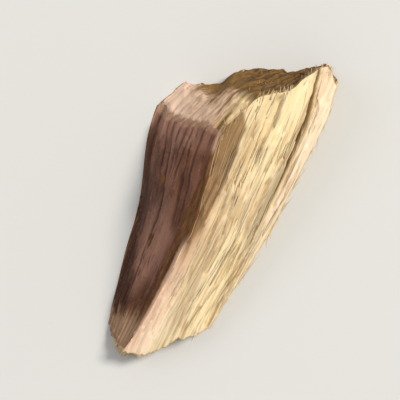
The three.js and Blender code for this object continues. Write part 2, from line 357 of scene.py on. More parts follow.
def face_share(line, along):
    """The share of the wood face's width at a line, with three lines drawn in to the slit."""
    lip = SLIT_HALF_WIDTH / SHOULDER_REACH
    bottom = slit_share(along)
    inner = line / (SLIT_LINE - 1) * (bottom - lip)
    slit = bottom + lip * (line - SLIT_LINE)
    outer = mix(bottom + lip, 1, (line - SLIT_LINE - 1) / (SOLID_FACE_LINES - SLIT_LINE - 1))
    return np.where(line < SLIT_LINE - 1, inner, np.where(line > SLIT_LINE + 1, outer, slit))


def slit_depth(line, along):
    deep = SLIT_DEPTH * rise(along, SLIT_CLOSED_AT, SLIT_FULL_AT)
    return deep * np.clip(1 - np.abs(line - SLIT_LINE), 0, 1)


def strip_form(share, along):
    """The strip beside the ridge, which rises to the height that the wood face keeps."""
    edge = face_share(STRIP_LINE + 0 * along, along)
    return strip_drop(along) * np.minimum((1 - edge) * share / edge, 1 - share)


def wood_form(line, share, along):
    coarse, fine = noise(share * 11, along / 4.2, 31), noise(share * 23, along / 2.4, 33)
    relief = WOOD_BUNDLES * (0.6 * coarse + 0.4 * fine)
    for first, last, begins, ends, height in SLIVERS:
        length = np.clip((along - begins) / SLIVER_RISE, 0, 1) * np.clip((ends - along) / SLIVER_BREAK, 0, 1)
        width = between(line, first - SLIVER_BEYOND, last + SLIVER_BEYOND, SLIVER_STEP)
        relief = relief + height * length * width
    return relief * edge_fade(share, 0.05) + strip_form(share, along) - WOOD_HOLLOW * arch(share)


def wall_form(share, along):
    coarse = WALL_STEPS * noise(share * 3.5, along / 2.6, 41)
    return (coarse + WALL_BUNDLES * noise(share * 10, along / 3.3, 43)) * edge_fade(share, 0.15)


def base_form(line, along):
    relief = np.zeros_like(along)
    for middle, begins, ends, depth in BASE_GROOVES:
        inside = np.clip(np.minimum(along - begins, ends - along) / GROOVE_FADE, 0, 1)
        relief = relief - depth * inside * np.clip(1 - np.abs(line - middle), 0, 1)
    return relief


def thin_cut(y, z):
    """Where the thin end's cuts lie along the grain."""
    skew = THIN_SKEW * np.maximum(0, -y - THIN_WOOD_FROM) + THIN_BARK_SKEW * np.maximum(0, y - THIN_BARK_FROM)
    corner = THIN_CORNER_ROUND * np.maximum(0, -y - THIN_CORNER_FROM) ** 2
    torn = THIN_END_BUNDLES * noise(y / 0.2, z / 0.2, 61) + THIN_END_WAVES * noise(y / 0.5, z / 0.4, 63)
    return skew + corner + THIN_UNDERCUT * (RIDGE_HEIGHT_AT_TIP - z) + torn


def thick_faces(y, z):
    """Where the knife cut and the corner's break lie along the grain."""
    lean = KNIFE_LEAN * rise(y, KNIFE_UPRIGHT_AT, KNIFE_FULL_LEAN_AT)
    outer_corner = OUTER_CORNER_BACK * np.maximum(0, -y - OUTER_CORNER_FROM)
    step = KNIFE_STEP_BACK * rise(y, KNIFE_STEP_FROM, KNIFE_STEP_TO)
    knife = KNIFE_AT_MIDDLE - KNIFE_SKEW * y - lean * z - outer_corner - step
    return knife, BREAK_AT_BARK - BREAK_SKEW * y - BREAK_LEAN * z


def thick_cut(y, z):
    """Where the thick end lies along the grain: at the face further back, blended where the two meet."""
    knife, corner = thick_faces(y, z)
    meeting = np.clip(0.5 + (corner - knife) / (2 * END_FACE_BLEND), 0, 1)
    torn = THICK_END_BUNDLES * noise(y / 0.24, z / 0.24, 71) + THICK_END_WAVES * noise(y / 0.7, z / 0.5, 73)
    return mix(corner, knife, meeting) - END_FACE_BLEND * meeting * (1 - meeting) + torn


# Relief finer than the solid's facets

def nearby_cells(a, b):
    """The cell of a grid that each point lies in, and the eight around it."""
    for i in (-1, 0, 1):
        for j in (-1, 0, 1):
            yield np.floor(a) + i, np.floor(b) + j


def strands(across, along, sizes, seed):
    """Strands side by side along the grain. Each breaks off short, over and over, at heights of its own."""
    width, length, step, roundness = sizes
    lane = across / width + 0.5 * noise(along / 2.9, across / 1.3, seed)
    which = np.floor(lane)
    side = np.abs(2 * (lane - which) - 1)
    place = along / length * (0.7 + 0.6 * chance(which, 3.0, seed)) + 31 * chance(which, 5.0, seed)
    piece = np.floor(place)
    before, here = (2 * chance(which, piece - k, seed + 1) - 1 for k in (1, 0))
    height = mix(before, here, rise(place - piece, 0, 0.05))
    return step * height * (1 - side**3) + roundness * (1 - side * side)


def tubes(across, up, along):
    """The open tubes of the wood: 0 outside them, and 1 at the middle of a tube."""
    a = across / TUBE_SPACING + 0.15 * noise(along / 2.7, across, 85)
    b = up / TUBE_SPACING + 0.45 * noise(along / 2.2, across / 0.8, 86)
    deep = np.zeros_like(a)
    for i, j in nearby_cells(a, b):
        x = i + 0.5 + TUBE_STRAY * (chance(i, j, 81) - 0.5)
        y = j + 0.5 + TUBE_STRAY * (chance(i, j, 82) - 0.5)
        radius = mix(*TUBE_RADII, chance(i, j, 83))
        here = np.clip(1.2 - ((a - x) ** 2 + (b - y) ** 2) / radius**2, 0, 1)
        deep = np.maximum(deep, here * (chance(i, j, 84) > TUBES_MISSING))
    return deep


def fine_wood(across, up, along):
    broad = strands(across + 0.6 * up, along, BROAD_STRANDS, 91)
    return broad + strands(across - 0.4 * up, along, NARROW_STRANDS, 95)


def torn_off(across, along):
    """Layers torn off along the grain. Each strand of them broke at a place of its own."""
    lane = np.floor(across / TORN_STRAND + 0.5 * noise(along / 2.0, across / 0.9, 131))
    ragged = LONG_FRAY * chance(lane, 1.0, 133) ** 2 + SHORT_FRAY * chance(lane, 2.0, 134)
    side = TORN_SWAY * noise(along / 0.7, across / 0.5, 135)
    fallen = np.zeros_like(along * across)
    for low, high, begins, ends, thick in TORN_LAYERS:
        wide = between(across + side, low, high, TORN_SIDE_STEP)
        begun = rise(along - ragged, begins, begins + TORN_FIRST_STEP)
        ended = rise(along + ragged, ends - TORN_LAST_STEP, ends)
        fallen = fallen - thick * wide * begun * (1 - ended)
    return fallen


def cork_left(v, along):
    """1 where the bark has its cork, and 0 where it is rubbed off: at its edges and in a few patches."""
    arc = BARK_WIDTH * v
    foot, ridge, _, _ = corners(along)
    jagged = 0.13 * line_noise(along / 0.9, 141) + 0.05 * line_noise(along / 0.2, 142)
    rubbed = RUBBED_RIDGE * between(along, RUBBED_FROM, RUBBED_TO, RUBBED_FADE)
    by_ridge = BARK_WIDTH - arc - BARE_AT_RIDGE - jagged - rubbed
    by_foot = arc - BARE_AT_FOOT - 0.06 * line_noise(along / 0.6, 143)
    by_break = thick_cut(mix(foot[0], ridge[0], v), mix(foot[1], ridge[1], v)) - along - BARE_AT_BREAK
    by_break = by_break - 0.12 * line_noise(arc / 0.25, 148) - 0.08 * line_noise(arc / 0.08, 149)
    by_tip = along - BARE_AT_TIP - BARE_TIP_SLANT * v
    by_tip = by_tip - 0.35 * line_noise(arc / 0.3, 144) - 0.25 * noise(arc / 0.09, along / 0.5, 146)
    patch = 0.86 - noise(arc / 0.42, along, 145) - 0.35 * noise(arc / 0.11, along / 0.22, 147)
    kept = rise(by_ridge, 0, 0.06) * rise(by_foot, 0, 0.05) * rise(by_tip, 0, 0.3)
    return kept * rise(patch, 0, 0.15) * rise(by_break, 0, 0.08)


def furrows(arc, along, sizes, seed):
    """Long furrows side by side, which wander, deepen and fade out along the grain."""
    spacing, narrow, depth = sizes
    lane = arc / spacing + 0.55 * noise(along / 1.7, arc / 1.1, seed)
    which = np.rint(lane)
    deep = rise(noise(along / 1.5, which * 1.7, seed + 1), -0.7, 0.5)
    return depth * deep * hump(lane - which, narrow)


def breathing_pores(arc, along):
    """Small raised pores of the bark, wider across the grain than along it. 1 at the middle of a pore."""
    a, b = arc / PORES_UP, along / PORES_ALONG
    high = np.zeros_like(a)
    for i, j in nearby_cells(a, b):
        across = (a - i - 0.2 - 0.6 * chance(i, j, 191)) * PORES_UP
        lengthwise = (b - j - 0.2 - 0.6 * chance(i, j, 192)) * PORES_ALONG
        size = mix(*PORE_SIZES, chance(i, j, 193))
        pore = hump(across, size) * hump(lengthwise, PORE_LENGTH * size)
        high = np.maximum(high, pore * (chance(i, j, 194) > PORES_MISSING))
    return high


def fine_bark(v, along):
    """Long furrows, short cross cracks, pores, scurf, and the step down where cork is gone."""
    arc = BARK_WIDTH * v
    grooves = furrows(arc, along, BROAD_FURROWS, 101) + furrows(arc, along, NARROW_FURROWS, 103)
    crack = (1 - np.abs(noise(along / 0.6, arc / 0.7, 105))) ** 16
    crack = crack * rise(noise(arc / 0.5, along / 0.8, 107), 0, 0.4)
    swell = BARK_SWELL * noise(arc / 0.2, along / 0.9, 108)
    scurf = BARK_SCURF * noise(arc / 0.06, along / 0.12, 109)
    relief = swell + scurf + PORE_HEIGHT * breathing_pores(arc, along) - grooves - CROSS_CRACK * crack
    return relief - CORK_THICKNESS * (1 - cork_left(v, along))


# The chip's points

def section_point(along, u, v, fine):
    """A point of the section: u runs from the bark to the outer wall, and v upwards."""
    foot, ridge, shoulder, heel = corners(along)
    line = u * SOLID_FACE_LINES
    share = face_share(line, along)
    torn_line = line + fine * 0.4 * noise(along / 0.4, line * 0.8, 151) * edge_fade(share, 0.05)
    face_across = mix(ridge[0], shoulder[0], share)
    base_across = mix(foot[0], heel[0], u)
    wall_up, level = WALL_HEIGHT * v, 0 * u
    top, outside = level + WALL_HEIGHT, level + WALL_PATTERN_AT

    face_fine = fine_wood(face_across, top, along) + torn_off(face_across, along)
    face_fine = face_fine - TUBE_GROOVE * tubes(face_across, top, along) * rise(share, 0.3, 0.4)
    wall_fine = fine_wood(wall_up, outside, along) - TUBE_GROOVE * tubes(wall_up, outside, along)
    base_fine = np.minimum(0, fine_wood(base_across, level, along) - BASE_SCRAPED)

    bark_relief = bark_form(v, along) + fine * fine_bark(v, along) * edge_fade(v, 0.02)
    wall_relief = wall_form(v, along) + fine * wall_fine * edge_fade(v, 0.04)
    face_relief = wood_form(torn_line, share, along) + fine * face_fine * edge_fade(share, 0.015)
    base_relief = base_form(line, along) + fine * base_fine * edge_fade(u, 0.02)

    bark = side_point(foot, ridge, v, -bark_relief)
    wall = side_point(heel, shoulder, v, wall_relief)
    face = side_point(ridge, shoulder, share, slit_depth(torn_line, along) - face_relief)
    base = side_point(foot, heel, u, base_relief)
    point = []
    for k in (0, 1):
        flat = mix(mix(foot[k], heel[k], u), mix(ridge[k], shoulder[k], u), v)
        point.append(mix(bark[k], wall[k], u) + mix(base[k], face[k], v) - flat)
    return point


def meet(cut, start, u, v):
    """Where each line of the block meets a cut, found in rounds."""
    along = np.full_like(u, start)
    for _ in range(MEETING_ROUNDS):
        along = cut(*section_point(along, u, v, 0))
    return along


# Each end's cut, and where along the grain the search for it starts
THIN_END, THICK_END = (thin_cut, 0.5), (thick_cut, 8.0)


def meet_ends(u, v):
    return meet(*THIN_END, u, v), meet(*THICK_END, u, v)


def middle_of_solid():
    """The middle of the solid's box, from its own lines. It is the origin of the frame."""
    face_lines, bark_lines = (np.linspace(0, 1, lines + 1) for lines in (SOLID_FACE_LINES, SOLID_BARK_LINES))
    u, v = (share.ravel() for share in np.meshgrid(face_lines, bark_lines))
    thin, thick = meet_ends(u, v)
    rings = []
    for s in np.linspace(0, 1, SOLID_GRAIN_LINES + 1):
        along = mix(thin, thick, s)
        rings.append(np.stack((along, *section_point(along, u, v, 0)), 1))
    points = np.concatenate(rings)
    middle = (points.min(0) + points.max(0)) / 2
    return np.array((middle[0], middle[1], 0))


def end_relief(u, v, along):
    """How far the bundles and tubes of a cut end stand out of its plane, or lie below it."""
    y, _ = section_point(along, u, v, 0)
    up = WALL_HEIGHT * v
    bundles = NARROW_END_BUNDLES * noise(y / 0.06, up / 0.06, 111)
    return bundles + BROAD_END_BUNDLES * noise(y / 0.15, up / 0.2, 113) - TUBE_PIT * tubes(y, up, along)


MIDDLE = middle_of_solid()


def to_metres(x, y, z):
    return ((np.stack((x, y, z), -1).reshape(-1, 3) - MIDDLE) * MILLIMETRE).ravel()


# The chip's mesh

def block():
    """A unit block of six divided grids, sewn together along its edges."""
    bm = bmesh.new()
    sizes = (GRAIN_STEPS, FACE_STEPS, BARK_STEPS)
    for axis in range(3):
        a, b = [k for k in range(3) if k != axis]
        for side in (-0.5, 0.5):
            turn = Matrix.Identity(4)
            for row in range(3):
                turn[row][0] = 1.0 if row == a else 0.0
                turn[row][1] = 1.0 if row == b else 0.0
                turn[row][2] = 1.0 if row == axis else 0.0
            turn[axis][3] = side
            bmesh.ops.create_grid(bm, x_segments=sizes[a], y_segments=sizes[b], size=0.5, matrix=turn)
    bmesh.ops.remove_doubles(bm, verts=bm.verts, dist=1e-5)
    return bm


def end_places(u, v):
    """Where the two cut ends lie for each line of the block, relief and all."""
    column = np.rint(u * FACE_STEPS).astype(int) * (BARK_STEPS + 1) + np.rint(v * BARK_STEPS).astype(int)
    line_u = np.repeat(np.arange(FACE_STEPS + 1) / FACE_STEPS, BARK_STEPS + 1)
    line_v = np.tile(np.arange(BARK_STEPS + 1) / BARK_STEPS, FACE_STEPS + 1)
    thin, thick = meet_ends(line_u, line_v)
    thin = thin - end_relief(line_u, line_v, thin)
    thick = thick + end_relief(line_u, line_v, thick)
    return thin[column], thick[column]


def chip_mesh():
    bm = block()
    mesh = bpy.data.meshes.new("root_chip")
    bm.to_mesh(mesh)
    bm.free()
    place = np.empty(len(mesh.vertices) * 3)
    mesh.vertices.foreach_get("co", place)
    s, u, v = (place.reshape(-1, 3) + 0.5).T
    along = mix(*end_places(u, v), s)
    y, z = section_point(along, u, v, 1)
    mesh.vertices.foreach_set("co", to_metres(along, y, np.maximum(z, 0)))
    keep_finish(mesh, s, u, v, along, y, z)
    return mesh


# What each point of the chip knows of its finish

def long_streaks(across, along):
    tone = np.zeros_like(along)
    for middle, half_width, begins, ends, strength in STREAKS:
        stray = middle + STREAK_SWAY * noise(along / 1.3, middle, 171)
        tone = tone + strength * hump(across - stray, half_width) * between(along, begins, ends, STREAK_FADE)
    return tone


def pale_patches(v, along):
    pale = np.zeros_like(v)
    edge = 0.3 * noise(v / 0.08, along / 0.5, 181)
    for middle, half_length, up, half_width in PALE_PATCHES:
        near = 1.2 - ((along - middle) / half_length) ** 2 - ((v - up) / half_width) ** 2
        pale = np.maximum(pale, rise(near + edge, 0, 1.2))
    return pale


def under_bark(along, y, z):
    """How deep a point lies under the plane of the bark."""
    foot, ridge, _, _ = corners(along)
    run = np.hypot(foot[0] - ridge[0], ridge[1])
    return -((y - foot[0]) * ridge[1] + z * (foot[0] - ridge[0])) / run


def ray_turn(along, y, z):
    """How far round the root's middle a point lies."""
    level = z - RIDGE_RISE * along + RIDGE_CURVE * along**2
    return RAY_SCALE * np.arctan2(level - ROOT_MIDDLE_UP, y - ROOT_MIDDLE_ACROSS)


def ridge_pink_and_highlight(share, along):
    """Pinker wood beside the ridge, paler too as a painted highlight along it, from the thin end to the
    middle, and widest at the tip.
    """
    width = mix(0.5, 0.3, rise(along, 1.2, 2.4))
    return (1 - rise(share, 0.16, width)) * (1 - rise(along, 2.4, 4.2))


def outer_band(share, along):
    """The band between the slit and the outer edge of the wood face."""
    return rise(share - slit_share(along), 0.02, 0.08) * rise(along, 3.0, 5.0)


def slit_painted_shade(line, share, along):
    """Painted shade in the slit, and a softer painted shade to either side that fades where the slit opens.
    """
    in_slit = np.clip(1.1 - np.abs(line - SLIT_LINE), 0, 1) * rise(along, SLIT_CLOSED_AT, 5.0)
    beside = hump(share - slit_share(along) - SLIT_SIDE_AT, SLIT_SIDE_WIDTH)
    beside = beside * rise(along, 3.2, 4.8) * (1 - 0.6 * rise(along, 6.2, 7.2))
    return np.maximum(in_slit, SLIT_SIDE_PAINTED_SHADE * beside)


def bare_strip(y, along):
    edge = STRIP_EDGE + 0.05 * line_noise(along / 0.5, 161) + 0.02 * line_noise(along / 0.12, 162)
    for begins, ends, inset in STRIP_NARROWS:
        edge = edge + inset * rise(along, begins, ends)
    return rise(y, edge - STRIP_BLEND, edge + STRIP_BLEND) * rise(along, STRIP_COLOUR_FROM, STRIP_COLOUR_FULL)


def keep(mesh, name, values):
    """Stores one number for each point of a mesh, for its material to read."""
    numbers = np.asarray(values, dtype=np.float32)
    mesh.attributes.new(name, "FLOAT", "POINT").data.foreach_set("value", numbers)


def keep_finish(mesh, s, u, v, along, y, z):
    """What the material needs to know of each point: where it lies in the root, how it is worn, and where
    painted shade and highlights go.
    """
    edge = 1e-6
    on_bark, on_face, on_thick_end = u < edge, v > 1 - edge, s > 1 - edge
    up, line = WALL_HEIGHT * v, u * SOLID_FACE_LINES
    share = face_share(line, along)
    depth = under_bark(along, y, z)
    depth = np.where(on_bark, np.minimum(depth, CORK_DEPTH), depth)
    high = np.where(on_bark, fine_bark(v, along), fine_wood(y, up, along) + torn_off(y, along) * on_face)
    knife, corner = thick_faces(y, z)
    band = outer_band(share, along) * on_face
    finish = {
        "along": along,
        "across": y,
        "up": up,
        "depth": depth,
        "ray": ray_turn(along, y, z),
        "cut_end": (s < edge) | on_thick_end,
        "knife": rise(corner - knife, -0.15, 0.15) * on_thick_end,
        "tubes": tubes(y, up, along) * rise(depth, TUBES_FROM, TUBES_FULL_AT),
        "high": high / FULLY_HIGH,
        "cork": cork_left(v, along),
        "blush": np.maximum(ridge_pink_and_highlight(share, along) * on_face, BAND_BLUSH * band),
        "slit": slit_painted_shade(line, share, along) * on_face,
        "strip": bare_strip(y, along) * on_face,
        "tone": np.where(on_bark, pale_patches(v, along), long_streaks(y, along) - BAND_TAN * band),
    }
    for name, values in finish.items():
        keep(mesh, name, values)


def finish_mesh(mesh, name, material):
    bm = bmesh.new()
    bm.from_mesh(mesh)
    bmesh.ops.recalc_face_normals(bm, faces=bm.faces)
    for f in bm.faces:
        f.smooth = True
    bm.to_mesh(mesh)
    bm.free()
    piece = bpy.data.objects.new(name, mesh)
    bpy.context.collection.objects.link(piece)
    mesh.materials.append(material)
    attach(piece, "root")
    return piece


# Loose fibres

def straight_fibre():
    """A straight fibre one unit long and one in radius, divided along its length."""
    bm = bmesh.new()
    bmesh.ops.create_cone(bm, cap_ends=True, segments=FIBRE_SIDES, radius1=1, radius2=1, depth=1)
    long_edges = [e for e in bm.edges if abs(e.verts[0].co.z - e.verts[1].co.z) > 0.5]
    bmesh.ops.subdivide_edges(bm, edges=long_edges, cuts=FIBRE_CUTS)
    mesh = bpy.data.meshes.new("fibre")
    bm.to_mesh(mesh)
    bm.free()
    return mesh


def copies(mesh, count, name):
    bm = bmesh.new()
    for _ in range(count):
        bm.from_mesh(mesh)
    joined = bpy.data.meshes.new(name)
    bm.to_mesh(joined)
    bm.free()
    return joined


def outward(along, v):
    """The direction out of the chip at its wood face or outer wall, as its parts across and up."""
    _, ridge, shoulder, _ = corners(along)
    face_run = np.hypot(ridge[0] - shoulder[0], ridge[1] - shoulder[1])
    face = ((shoulder[1] - ridge[1]) / face_run, (ridge[0] - shoulder[0]) / face_run)
    wall = (-1.0, 0.15)
    return [np.where(v > 0.98, face[k], wall[k]) for k in (0, 1)]


FIBRE = ("start", "end", "u", "v", "drift", "lift", "radius", "flat", "tone")


def side_fibres(pick, count, begins, length, u, v, lift, radius, flat):
    """Fibres that lie along a side, held at one end and a little raised at the other."""
    u, v = pick.uniform(*u, count), pick.uniform(*v, count)
    thin, thick = meet_ends(u, v)
    start = pick.uniform(*begins, count)
    end = start + pick.uniform(*length, count) * pick.choice((-1, 1), count)
    start = np.clip(start, thin + SIDE_END_ROOM, thick - SIDE_END_ROOM)
    return np.stack((
        start, np.clip(end, thin, thick), u, v, pick.uniform(-SIDE_DRIFT, SIDE_DRIFT, count),
        pick.uniform(*lift, count), pick.uniform(*radius, count), np.full(count, flat),
        pick.uniform(*SIDE_TONES, count),
    ), 1)


def end_fibres(pick, end, way, count, v, reach, tone):
    """Short broken fibres that stand out of a cut end."""
    u, v = pick.uniform(*END_PLACES, count), pick.uniform(*v, count)
    face = meet(*end, u, v)
    nothing = np.zeros(count)
    return np.stack((
        face - way * END_HOLD, face + way * pick.uniform(*reach, count), u, v,
        pick.uniform(-END_DRIFT, END_DRIFT, count), nothing, pick.uniform(*END_RADII, count), nothing + 1,
        pick.uniform(*tone, count),
    ), 1)


def all_fibres():
    pick = np.random.default_rng(FIBRE_SEED)
    return np.concatenate((
        *(side_fibres(pick, *sizes) for sizes in SIDE_FIBRES),
        *(end_fibres(pick, THICK_END, 1, *sizes) for sizes in THICK_END_FIBRES),
        *(end_fibres(pick, THIN_END, -1, *sizes) for sizes in THIN_END_FIBRES),
    )).T


def fibre_mesh():
    fibres = dict(zip(FIBRE, all_fibres()))
    straight = straight_fibre()
    mesh = copies(straight, len(fibres["start"]), "loose_fibres")
    shape = np.empty(len(straight.vertices) * 3)
    straight.vertices.foreach_get("co", shape)
    side_x, side_y, t = shape.reshape(-1, 3).T
    t = t[None, :] + 0.5
    start, end, u, v, drift, lift, radius, flat = (fibres[name][:, None] for name in FIBRE[:-1])

    along = mix(start, end, t)
    u, v = np.clip(u + drift * t, 0, 1), v + 0 * along
    y, z = section_point(along, u, v, FIBRE_RELIEF)
    out_y, out_z = outward(along, v)
    width = radius * (1 - TIP_THINNING * t**3) * mix(HELD_WIDTH, 1, np.minimum(1, WIDENING * t))
    bend = FIBRE_BEND * np.sin(9 * t + 40 * start) * np.maximum(0, t - BEND_FROM)
    proud = lift * t**LIFT_CURVE + radius * FIBRE_PROUD + side_y * width * flat
    sideways = side_x * width + bend
    y = y + out_y * proud - out_z * sideways
    z = z + out_z * proud + out_y * sideways
    mesh.vertices.foreach_set("co", to_metres(along, y, np.maximum(z, FLOOR_GAP)))
    on_strip = rise(y, -0.65, -0.5) * rise(along, STRIP_COLOUR_FROM, STRIP_COLOUR_FULL) * (v > 0.98)
    keep(mesh, "tone", (fibres["tone"][:, None] * (1 - 0.7 * on_strip)).ravel())
    return mesh


# Shader maths

class Socket:
    """A shader socket that Python's operators work on."""

    def __init__(self, finish, out):
        self.finish, self.out = finish, out

    def __add__(self, other):
        return self.finish.math("ADD", self, other)

    def __mul__(self, other):
        return self.finish.math("MULTIPLY", self, other)

    def __sub__(self, other):
        return self.finish.math("SUBTRACT", self, other)

    def __rsub__(self, other):
        return self.finish.math("SUBTRACT", other, self)

    def __abs__(self):
        return self.finish.math("ABSOLUTE", self)

    __radd__ = __add__
    __rmul__ = __mul__

    def step(self, low, high):
        """0 below low, 1 above high, and smooth between them."""
        settings = {"interpolation_type": "SMOOTHSTEP"}
        inputs = {"Value": self, "From Min": low, "From Max": high}
        return self.finish.node("ShaderNodeMapRange", settings, inputs)

    def limit(self):
        """Kept from 0 to 1."""
        return self.finish.node("ShaderNodeClamp", {}, {"Value": self})


# The colour sockets of a Mix node
MIX_SHARE, MIX_UNDER, MIX_OVER, MIX_RESULT = 0, 6, 7, 2


class Finish:
    """A material, its nodes and its shader."""

    def __init__(self, name):
        self.material = bpy.data.materials.new(name)
        self.material.use_nodes = True
        self.tree = self.material.node_tree
        self.shader = self.tree.nodes["Principled BSDF"]

    def node(self, kind, settings, inputs, output=0):
        made = self.tree.nodes.new(kind)
        for name, value in settings.items():
            setattr(made, name, value)
        for name, value in inputs.items():
            if isinstance(value, Socket):
                self.tree.links.new(value.out, made.inputs[name])
            else:
                made.inputs[name].default_value = value
        return Socket(self, made.outputs[output])

    def math(self, operation, *values):
        return self.node("ShaderNodeMath", {"operation": operation}, dict(enumerate(values)))

    def attribute(self, name):
        return self.node("ShaderNodeAttribute", {"attribute_name": name}, {}, "Fac")

    def clouds(self, place, scale, detail=3.0, rough=0.55):
        inputs = {"Vector": place, "Scale": scale, "Detail": detail, "Roughness": rough}
        return self.node("ShaderNodeTexNoise", {}, inputs)

    def layers(self, colour_under, *others):
        """A colour with others laid over it, each by a share of its own."""
        for over, share in others:
            inputs = {MIX_SHARE: share, MIX_UNDER: colour_under, MIX_OVER: over}
            colour_under = self.node("ShaderNodeMix", {"data_type": "RGBA"}, inputs, MIX_RESULT)
        return colour_under

    def plug(self, name, value):
        self.tree.links.new(value.out, self.shader.inputs[name])


class RootFinish(Finish):
    """The chip's finish: the numbers kept on its points, and the patterns that follow its grain."""

    def __init__(self, name):
        super().__init__(name)
        for number in (
            "along", "across", "up", "depth", "ray", "cut_end", "knife", "tubes", "high", "cork", "blush",
            "slit", "strip", "tone",
        ):
            setattr(self, number, self.attribute(number))
        self.bands = self.clouds(self.stretched(0.06), 2.4, 2.0)
        self.streaks = self.clouds(self.stretched(0.10), 9.0, 4.0, 0.6)
        self.hairlines = self.clouds(self.stretched(0.07), 19.0, 2.0, 0.6)
        self.specks = self.clouds(self.stretched(0.5), 16.0, 3.0, 0.6)
        self.mottle = self.clouds(self.stretched(0.5), 2.2, 4.0, 0.6)
        self.scurf = self.clouds(self.stretched(1.2, 2.0), 9.0, 3.0, 0.65)
        self.wrinkles = self.clouds(self.stretched(0.18), 9.0, 3.0, 0.6)
        by_ray = self.vector(self.ray * 7.0, self.depth * 0.8, self.along * 0.2)
        self.rays = self.clouds(by_ray, 1.0, 2.0)

    def vector(self, x, y, z):
        return self.node("ShaderNodeCombineXYZ", {}, {"X": x, "Y": y, "Z": z})

    def stretched(self, lengthwise, crosswise=1.0):
        """The place in the root, scaled along the grain and across it."""
        return self.vector(self.along * lengthwise, self.across * crosswise, self.up * crosswise)


# Colours of the chip

def colour(red, green, blue):
    """An sRGB colour, 0 to 255, as Blender's linear one."""
    shares = (red / 255, green / 255, blue / 255)
    linear = [c / 12.92 if c <= 0.04045 else ((c + 0.055) / 1.055) ** 2.4 for c in shares]
    return (*linear, 1.0)


def wood_colour(root):
    """Pale yellow wood: tan and yellow streaks, hairlines, tubes and pink edges. Painted highlights lie on
    raised strands and along the ridge, and painted shade in hollows, in the slit and beside it.
    """
    clean = 1 - root.tone.step(0.2, 1.2) * 0.6
    return root.layers(
        colour(217, 191, 146),
        (colour(230, 206, 161), root.bands.step(0.36, 0.62)),
        (colour(238, 216, 166), root.tone.step(0.0, 1.0) * 0.8),
        (colour(190, 157, 112), (-1.0 * root.tone).step(0.0, 1.2) * 0.9),
        (colour(196, 164, 116), root.streaks.step(0.52, 0.74) * 0.55 * clean),
        # Painted highlight on raised strands, and painted shade in the hollows between them and where layers
        # are torn off
        (colour(242, 224, 190), root.high.step(0.1, 0.9) * 0.4),
        (colour(176, 142, 96), (1 - root.high).step(1.2, 2.0) * 0.6 * clean),
        (colour(166, 130, 84), root.hairlines.step(0.54, 0.68) * 0.55 * clean),
        (colour(248, 230, 192), (1 - root.hairlines).step(0.54, 0.68) * 0.4),
        (colour(148, 114, 72), root.tubes.step(0.05, 0.9) * 0.55 * clean),
        # Pink wood beside the ridge and beyond the slit, with a painted highlight along the ridge
        (colour(255, 230, 202), root.blush * 0.9),
        # Painted shade in the slit and beside it
        (colour(116, 92, 56), root.slit.step(0.1, 0.9) * 0.75),
    )


def inner_bark_colour(root):
    """Pink near the thin end and brown further on, paler deeper in, with rays and streaks."""
    outer = root.layers(colour(236, 201, 172), (colour(132, 90, 50), root.along.step(2.3, 3.9)))
    deeper = root.layers(colour(236, 204, 172), (colour(198, 158, 116), root.along.step(1.8, 3.4)))
    return root.layers(
        outer,
        (deeper, root.depth.step(0.06, 0.28)),
        (colour(228, 196, 162), root.rays.step(0.45, 0.66) * 0.4),
        (colour(180, 142, 98), root.streaks.step(0.55, 0.75) * 0.5),
    )


def strip_colour(root):
    """The strip of bare inner bark, paler towards the thick end, with painted shade in its hollows and a
    painted highlight on its raised strands.
    """
    return root.layers(
        colour(90, 62, 34),
        (colour(134, 100, 62), root.streaks.step(0.36, 0.64)),
        # Painted shade in the strip's hollows, and a painted highlight on its raised strands
        (colour(78, 54, 28), (1 - root.high).step(1.1, 1.9) * 0.7),
        (colour(164, 128, 86), root.high.step(0.3, 1.0) * 0.4),
        (colour(98, 68, 34), root.specks.step(0.52, 0.72) * 0.6),
        (colour(160, 124, 76), root.along.step(6.0, 7.4) * 0.6),
    )


def knife_colour_and_painted_shade(root):
    """The knife cut through the wood: golden brown, darkened further with painted shade, and paler at its
    step and at its top edge.
    """
    return root.layers(
        colour(66, 38, 4),
        (colour(112, 74, 14), root.rays.step(0.42, 0.60)),
        (colour(136, 98, 48), root.across.step(-0.1, 0.5) * 0.7),
        (colour(196, 162, 110), root.up.step(2.2, 2.5) * 0.4),
    )


def end_colour(root):
    """Cut ends are darker than the split faces, with pale rays from the bark inwards. The knife cut's colour
    carries painted shade, and the pink at the break a painted highlight.
    """
    ragged = root.rays + root.mottle - 1.0
    by_wood = (root.up + ragged * 1.2).step(1.4, 2.1) * (1 - root.across + ragged * 0.9).step(0.6, 1.1)
    ring = (1 - abs(root.depth - 0.62) * 12.0).step(0.0, 0.8)
    by_bark = (1 - root.depth + ragged * 0.8).step(0.2, 0.6) * (root.across + ragged * 1.2).step(0.0, 0.6)
    thick_end = root.layers(
        colour(128, 94, 50),
        (colour(180, 144, 92), root.rays.step(0.40, 0.60)),
        (colour(214, 182, 130), root.rays.step(0.58, 0.70) * 0.5),
        (colour(96, 68, 32), root.mottle.step(0.46, 0.66) * 0.6),
        (colour(66, 46, 24), root.tubes.step(0.1, 0.8) * 0.8),
        # The knife cut's golden brown, darkened with painted shade
        (knife_colour_and_painted_shade(root), root.knife * 0.93),
        (colour(244, 214, 160), by_wood * (1 - root.knife) * 0.9),
        (colour(112, 80, 40), ring * 0.45),
    )
    # Pink inner bark at the break, paler further towards the bark as a painted highlight
    pink = root.layers(colour(216, 182, 156), (colour(238, 204, 178), root.across.step(1.0, 1.7)))
    return root.layers(
        colour(212, 180, 132),
        (thick_end, root.along.step(2.5, 4.0) * 0.65 + 0.35),
        (pink, by_bark * 0.85),
    )


